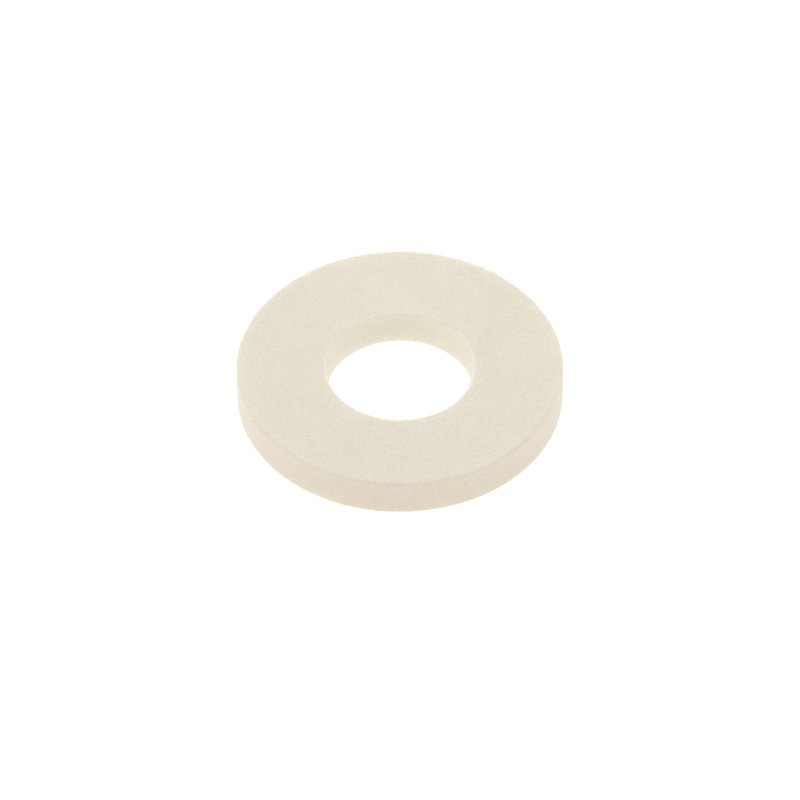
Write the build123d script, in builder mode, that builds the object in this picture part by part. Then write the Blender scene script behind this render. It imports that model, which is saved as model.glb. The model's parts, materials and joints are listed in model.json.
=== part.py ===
from build123d import *
import os

# Flat washer: one moulded ring of natural nylon.
# The frame's origin is the centre of the bore on the lower bearing face, with +Z up along the bore.

# Driving dimensions, in millimetres.
outer_diameter = 25.4
bore_diameter = 11.43
thickness = 3.175
outer_edge_radius = 0.20
bore_edge_radius = 0.25

os.makedirs("parts", exist_ok=True)

# The ring, between its two flat bearing faces.
with BuildPart() as washer:
    with BuildSketch() as ring:
        Circle(outer_diameter / 2)
        Circle(bore_diameter / 2, mode=Mode.SUBTRACT)
    extrude(amount=thickness)

    # The edges that the mould leaves soft: two round the outer wall, two round the bore.
    edges_by_radius = washer.edges().filter_by(GeomType.CIRCLE).group_by(SortBy.RADIUS)
    bore_edges = edges_by_radius[0]
    outer_edges = edges_by_radius[-1]
    fillet(bore_edges, bore_edge_radius)
    fillet(outer_edges, outer_edge_radius)

washer.part.label = "washer"
export_step(washer.part, "parts/washer.step")
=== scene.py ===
import json
import math

import bpy
from mathutils import Matrix, Vector, noise


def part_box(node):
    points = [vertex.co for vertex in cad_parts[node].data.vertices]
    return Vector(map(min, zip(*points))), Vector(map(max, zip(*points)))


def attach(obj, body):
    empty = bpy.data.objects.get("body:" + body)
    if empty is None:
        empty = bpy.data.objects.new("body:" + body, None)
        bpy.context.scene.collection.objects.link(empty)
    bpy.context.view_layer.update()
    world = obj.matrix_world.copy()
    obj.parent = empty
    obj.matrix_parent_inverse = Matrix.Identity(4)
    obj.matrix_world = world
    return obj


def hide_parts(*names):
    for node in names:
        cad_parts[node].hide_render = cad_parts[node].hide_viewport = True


MM = 0.001

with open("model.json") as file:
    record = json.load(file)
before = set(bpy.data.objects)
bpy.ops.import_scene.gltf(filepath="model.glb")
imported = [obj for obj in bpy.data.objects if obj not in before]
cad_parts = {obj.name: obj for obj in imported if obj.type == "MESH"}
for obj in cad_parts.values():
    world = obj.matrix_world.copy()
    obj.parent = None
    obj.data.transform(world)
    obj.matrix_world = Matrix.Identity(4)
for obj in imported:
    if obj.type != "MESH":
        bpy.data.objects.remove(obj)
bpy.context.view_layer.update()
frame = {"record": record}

# The ring's sizes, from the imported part. The bore's radius is its mount's.
low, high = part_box("washer")
outer_radius = (high.x - low.x) / 2
thickness = high.z - low.z
bore_mount = next(m for m in frame["record"]["mounts"] if m["name"] == "bore")
bore_radius = bore_mount["dims"]["r_mm"] * MM
bore_edge = 0.16 * MM
outer_edge = 0.16 * MM


# ---------------------------------------------------------------- the ring's mesh

ROUND_STEPS = 600
EDGE_STEPS = 8
FACE_STEPS = 44
WALL_STEPS = 20

# How uneven the moulding is: the size of the waves, and how far they move the surface.
EDGE_WAVE = 3.0 * MM
EDGE_UNEVENNESS = 0.25
SKIN_WAVE = 2.2 * MM
SKIN_UNEVENNESS = 0.006 * MM
SLOW_WAVE = 9.0 * MM
SLOW_UNEVENNESS = 0.012 * MM

# Where each kind of unevenness is taken from in the noise, so that they don't repeat one another.
SKIN_SHIFT = Vector((5, 5, 5))
RIM_SEED = 11
MOUTH_SEED = 23


def straight(start, end, steps, normal):
    """Section points from start up to, but not at, end. Each is its place and normal, as (radius, height)."""
    points = []
    for i in range(steps):
        t = i / steps
        place = (start[0] + (end[0] - start[0]) * t, start[1] + (end[1] - start[1]) * t)
        points.append((place, normal))
    return points


def rounded(centre, radius, first_degrees):
    """Section points along a quarter circle, counter-clockwise from first_degrees."""
    points = []
    for i in range(EDGE_STEPS):
        angle = math.radians(first_degrees + 90 * i / EDGE_STEPS)
        normal = (math.cos(angle), math.sin(angle))
        place = (centre[0] + radius * normal[0], centre[1] + radius * normal[1])
        points.append((place, normal))
    return points


def section(rim, mouth):
    """The cross-section, counter-clockwise from the outer wall's foot. Its edge radii are rim and mouth."""
    inner, outer, top = bore_radius, outer_radius, thickness
    points = straight((outer, rim), (outer, top - rim), WALL_STEPS, (1, 0))
    points += rounded((outer - rim, top - rim), rim, 0)
    points += straight((outer - rim, top), (inner + mouth, top), FACE_STEPS, (0, 1))
    points += rounded((inner + mouth, top - mouth), mouth, 90)
    points += straight((inner, top - mouth), (inner, mouth), WALL_STEPS, (-1, 0))
    points += rounded((inner + mouth, mouth), mouth, 180)
    points += straight((inner + mouth, 0), (outer - rim, 0), FACE_STEPS, (0, -1))
    points += rounded((outer - rim, rim), rim, 270)
    return points


def unevenness(place):
    """How far the moulded skin stands from its true surface at a place."""
    slow = noise.noise(place / SLOW_WAVE) * SLOW_UNEVENNESS
    skin = noise.noise(place / SKIN_WAVE + SKIN_SHIFT) * SKIN_UNEVENNESS
    return slow + skin


def edge_scale(direction, seed):
    """How much larger or smaller than its usual size an edge is in one direction round the ring."""
    place = direction * (outer_radius / EDGE_WAVE) + Vector((seed, seed, seed))
    return 1 + EDGE_UNEVENNESS * noise.noise(place)


def ring_vertices():
    vertices = []
    for i in range(ROUND_STEPS):
        angle = 2 * math.pi * i / ROUND_STEPS
        direction = Vector((math.cos(angle), math.sin(angle), 0))
        rim = outer_edge * edge_scale(direction, RIM_SEED)
        mouth = bore_edge * edge_scale(direction, MOUTH_SEED)
        for (radius, height), (out, up) in section(rim, mouth):
            place = direction * radius + Vector((0, 0, height))
            normal = direction * out + Vector((0, 0, up))
            vertices.append(place + normal * unevenness(place))
    return vertices


def ring_faces(section_size):
    faces = []
    for i in range(ROUND_STEPS):
        here = i * section_size
        turned = ((i + 1) % ROUND_STEPS) * section_size
        for j in range(section_size):
            k = (j + 1) % section_size
            faces.append((here + j, turned + j, turned + k, here + k))
    return faces


def make_washer():
    vertices = ring_vertices()
    faces = ring_faces(len(vertices) // ROUND_STEPS)
    mesh = bpy.data.meshes.new("nylon_washer")
    mesh.from_pydata(vertices, [], faces)
    mesh.polygons.foreach_set("use_smooth", [True] * len(faces))
    mesh.update()
    piece = bpy.data.objects.new("nylon_washer", mesh)
    bpy.context.scene.collection.objects.link(piece)
    return piece


# ---------------------------------------------------------------- materials

# Natural nylon: cream. The deeper, warmer outer wall is painted shade, and the lighter bore wall is painted
# light.
FACE_COLOUR = (0.795, 0.750, 0.642, 1)
OUTER_WALL_PAINTED_SHADE_COLOUR = (0.772, 0.706, 0.585, 1)
BORE_WALL_PAINTED_LIGHT_COLOUR = (0.845, 0.803, 0.688, 1)
SPECK_COLOUR = (0.42, 0.36, 0.27, 1)
EDGE_BLEND = 0.35 * MM

# Painted shade: the ring's edges are made a little darker than its faces, over a short reach.
EDGE_REACH = 0.6 * MM
EDGE_SHADE = 0.955

# Fine grain, and soft blotches that drift between two tones.
GRAIN_SIZE = 0.07 * MM
GRAIN_DARK = 0.945
GRAIN_LIGHT = 1.055
CLOUD_SIZE = 2.5 * MM
WARM_TONE = (0.99, 0.988, 0.98, 1)
COOL_TONE = (1.01, 1.012, 1.02, 1)

# Orange peel, and how high it and the grain stand.
PEEL_SIZE = 0.5 * MM
PEEL_HEIGHT = 0.004 * MM
GRAIN_HEIGHT = 0.0015 * MM

# A few small dark specks.
SPECK_SPACING = 1.6 * MM
SPECK_RADIUS = 0.05 * MM

# A satin skin, with light that scatters just under it.
GLOSSIEST = 0.43
ROUGHEST = 0.57
NYLON_IOR = 1.53
SCATTER_COLOUR = (1.0, 0.93, 0.82)
SCATTER_DEPTH = 0.75 * MM

# The values that most of a noise texture lies between.
NOISE_LOW = 0.3
NOISE_HIGH = 0.7

# The values between which the blotches go from one tone to the other.
BLOTCH_LOW = 0.35
BLOTCH_HIGH = 0.65


def node(tree, kind, inputs, **settings):
    """A new node with its settings and inputs. An input that is another node's socket is linked."""
    made = tree.nodes.new(kind)
    for name, value in settings.items():
        setattr(made, name, value)
    for name, value in inputs.items():
        if isinstance(value, bpy.types.NodeSocket):
            tree.links.new(value, made.inputs[name])
        else:
            made.inputs[name].default_value = value
    return made


def cloud(tree, place, size, detail):
    """Noise whose blotches are about size across, centred on 0.5."""
    made = node(tree, "ShaderNodeTexNoise", {"Vector": place, "Scale": 0.5 / size, "Detail": detail})
    return made.outputs["Fac"]


def spread(tree, value, start, end, to_start, to_end, smooth=False):
    """Maps start..end to to_start..to_end, and holds the ends."""
    kind = "SMOOTHSTEP" if smooth else "LINEAR"
    inputs = {"Value": value, "From Min": start, "From Max": end, "To Min": to_start, "To Max": to_end}
    return node(tree, "ShaderNodeMapRange", inputs, interpolation_type=kind).outputs["Result"]


def blended(tree, amount, first, second, kind="MIX"):
    """Mixes two colours. A Mix node's factor and its two colours are its inputs 0, 6 and 7."""
    made = node(tree, "ShaderNodeMix", {}, data_type="RGBA", blend_type=kind)
    for socket, value in zip((made.inputs[0], made.inputs[6], made.inputs[7]), (amount, first, second)):
        if isinstance(value, bpy.types.NodeSocket):
            tree.links.new(value, socket)
        else:
            socket.default_value = value
    return made.outputs[2]


def maths(tree, operation, *values):
    """The result of one Math node."""
    return node(tree, "ShaderNodeMath", dict(enumerate(values)), operation=operation).outputs["Value"]


def length_of(tree, x, y):
    flat = node(tree, "ShaderNodeCombineXYZ", {"X": x, "Y": y})
    measured = node(tree, "ShaderNodeVectorMath", {0: flat.outputs["Vector"]}, operation="LENGTH")
    return measured.outputs["Value"]


def distance_from_axis(tree, place):
    parts = node(tree, "ShaderNodeSeparateXYZ", {"Vector": place})
    return length_of(tree, parts.outputs["X"], parts.outputs["Y"])


def distance_from_edge(tree, place):
    """How far a place is from the nearest of the ring's four edges."""
    parts = node(tree, "ShaderNodeSeparateXYZ", {"Vector": place})
    reach = distance_from_axis(tree, place)
    half = thickness / 2
    level = maths(tree, "ABSOLUTE", maths(tree, "SUBTRACT", parts.outputs["Z"], half))
    below_face = maths(tree, "SUBTRACT", half, level)
    from_rim = maths(tree, "SUBTRACT", outer_radius, reach)
    from_bore = maths(tree, "SUBTRACT", reach, bore_radius)
    from_wall = maths(tree, "MINIMUM", from_rim, from_bore)
    return length_of(tree, below_face, from_wall)


def specks(tree, place):
    """1 inside the few small dark specks in the nylon, and 0 elsewhere."""
    cells = node(tree, "ShaderNodeTexVoronoi", {"Vector": place, "Scale": 1 / SPECK_SPACING})
    edge = SPECK_RADIUS / SPECK_SPACING
    return spread(tree, cells.outputs["Distance"], edge, edge * 0.4, 0, 1, smooth=True)


def nylon_colour_and_painted_light(tree, place, grain):
    reach = distance_from_axis(tree, place)
    on_outer_wall = spread(tree, reach, outer_radius - EDGE_BLEND, outer_radius, 0, 1, smooth=True)
    on_bore_wall = spread(tree, reach, bore_radius + EDGE_BLEND, bore_radius, 0, 1, smooth=True)
    # Painted shade: the outer wall is made deeper and warmer than the faces.
    colour = blended(tree, on_outer_wall, FACE_COLOUR, OUTER_WALL_PAINTED_SHADE_COLOUR)
    # Painted light: the bore's wall is made lighter than the faces.
    colour = blended(tree, on_bore_wall, colour, BORE_WALL_PAINTED_LIGHT_COLOUR)
    # Painted shade along the ring's four edges.
    painted_edge_shade = spread(tree, distance_from_edge(tree, place), 0, EDGE_REACH, EDGE_SHADE, 1, smooth=True)
    colour = blended(tree, 1, colour, painted_edge_shade, "MULTIPLY")
    shade = spread(tree, grain, NOISE_LOW, NOISE_HIGH, GRAIN_DARK, GRAIN_LIGHT)
    colour = blended(tree, 1, colour, shade, "MULTIPLY")
    blotches = cloud(tree, place, CLOUD_SIZE, 3)
    drift = spread(tree, blotches, BLOTCH_LOW, BLOTCH_HIGH, 0, 1)
    tone = blended(tree, drift, WARM_TONE, COOL_TONE)
    colour = blended(tree, 1, colour, tone, "MULTIPLY")
    return blended(tree, specks(tree, place), colour, SPECK_COLOUR)


def nylon_normal(tree, place, grain):
    """Orange peel and the mould's fine grain."""
    peel = cloud(tree, place, PEEL_SIZE, 2)
    coarse = node(tree, "ShaderNodeBump", {"Height": peel, "Distance": PEEL_HEIGHT, "Strength": 1.0})
    fine = {"Height": grain, "Distance": GRAIN_HEIGHT, "Strength": 1.0, "Normal": coarse.outputs["Normal"]}
    return node(tree, "ShaderNodeBump", fine).outputs["Normal"]


def nylon_material():
    material = bpy.data.materials.new("natural_nylon")
    material.use_nodes = True
    tree = material.node_tree
    shader = tree.nodes["Principled BSDF"]
    place = node(tree, "ShaderNodeTexCoord", {}).outputs["Object"]
    grain = cloud(tree, place, GRAIN_SIZE, 1)
    patches = cloud(tree, place, PEEL_SIZE, 3)
    gloss = spread(tree, patches, NOISE_LOW, NOISE_HIGH, GLOSSIEST, ROUGHEST)
    tree.links.new(nylon_colour_and_painted_light(tree, place, grain), shader.inputs["Base Color"])
    tree.links.new(gloss, shader.inputs["Roughness"])
    tree.links.new(nylon_normal(tree, place, grain), shader.inputs["Normal"])
    shader.inputs["IOR"].default_value = NYLON_IOR
    shader.inputs["Subsurface Weight"].default_value = 1.0
    shader.inputs["Subsurface Radius"].default_value = SCATTER_COLOUR
    shader.inputs["Subsurface Scale"].default_value = SCATTER_DEPTH
    return material


TABLE_GREY = (0.3, 0.3, 0.3, 1)
TABLE_GLOW = 0.88


def table_material():
    """A white table top, lit from below."""
    material = bpy.data.materials.new("white_table")
    material.use_nodes = True
    shader = material.node_tree.nodes["Principled BSDF"]
    shader.inputs["Base Color"].default_value = TABLE_GREY
    shader.inputs["Roughness"].default_value = 0.8
    shader.inputs["Specular IOR Level"].default_value = 0.0
    shader.inputs["Emission Color"].default_value = (1, 1, 1, 1)
    shader.inputs["Emission Strength"].default_value = TABLE_GLOW
    return material


# ---------------------------------------------------------------- stage

FLOOR_SIZE = 4.0
FLOOR_GAP = 0.02 * MM
TENT_WALL = 1.03
TENT_ROOF = 0.52

# The rise, as the sine of the angle above the table, over which the tent's wall turns into its roof.
WALL_TOP = 0.12
ROOF_START = 0.22


def make_floor():
    bpy.ops.mesh.primitive_plane_add(size=FLOOR_SIZE, location=(0, 0, -FLOOR_GAP))
    floor = bpy.context.object
    floor.name = "floor"
    floor.data.materials.append(table_material())


def make_world():
    """A white tent: its wall is bright near the table, and dimmer above."""
    world = bpy.data.worlds.new("light_tent")
    world.use_nodes = True
    tree = world.node_tree
    direction = node(tree, "ShaderNodeTexCoord", {}).outputs["Generated"]
    rise = node(tree, "ShaderNodeSeparateXYZ", {"Vector": direction}).outputs["Z"]
    strength = spread(tree, rise, WALL_TOP, ROOF_START, TENT_WALL, TENT_ROOF, smooth=True)
    background = tree.nodes["Background"]
    background.inputs["Color"].default_value = (1, 1, 1, 1)
    tree.links.new(strength, background.inputs["Strength"])
    bpy.context.scene.world = world


def softbox(name, place, width, height, brightness):
    """A rectangular lamp that faces the washer. Its brightness is the radiance of its cloth."""
    data = bpy.data.lights.new(name, "AREA")
    data.shape = "RECTANGLE"
    data.size = width
    data.size_y = height
    data.energy = brightness * math.pi * width * height
    lamp = bpy.data.objects.new(name, data)
    lamp.location = place
    lamp.rotation_euler = Vector(place).to_track_quat("Z", "Y").to_euler()
    bpy.context.scene.collection.objects.link(lamp)


CAMERA_ELEVATION = math.radians(45.68)
CAMERA_DISTANCE = 43.86 * outer_radius
CAMERA_LENS = 322.7
FRAMING_TILT = math.radians(0.2743)
CAMERA_ROLL = math.radians(-0.336)


def make_camera():
    data = bpy.data.cameras.new("camera")
    data.lens = CAMERA_LENS
    data.sensor_width = 36
    data.clip_start = 0.01
    data.clip_end = 10
    camera = bpy.data.objects.new("camera", data)
    back = Vector((0, -math.cos(CAMERA_ELEVATION), math.sin(CAMERA_ELEVATION)))
    place = Vector((0, 0, thickness)) + back * CAMERA_DISTANCE
    pitch = math.pi / 2 - CAMERA_ELEVATION - FRAMING_TILT
    turn = Matrix.Rotation(pitch, 4, "X") @ Matrix.Rotation(CAMERA_ROLL, 4, "Z")
    camera.matrix_world = Matrix.Translation(place) @ turn
    bpy.context.scene.collection.objects.link(camera)
    bpy.context.scene.camera = camera


# ---------------------------------------------------------------- the scene

washer = make_washer()
washer.data.materials.append(nylon_material())
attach(washer, "root")
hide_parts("washer")

make_floor()
make_world()
softbox("softbox_high", (0, 0.26, 0.26), 0.4, 0.22, 2.4)
softbox("softbox_left", (-0.6, -0.05, 0.24), 0.5, 0.25, 1.3)
softbox("softbox_right", (0.6, -0.05, 0.24), 0.5, 0.25, 0.7)
softbox("softbox_front", (0, -0.5, 0.6), 0.4, 0.3, 1.2)
make_camera()

bpy.context.scene.view_settings.view_transform = "Standard"
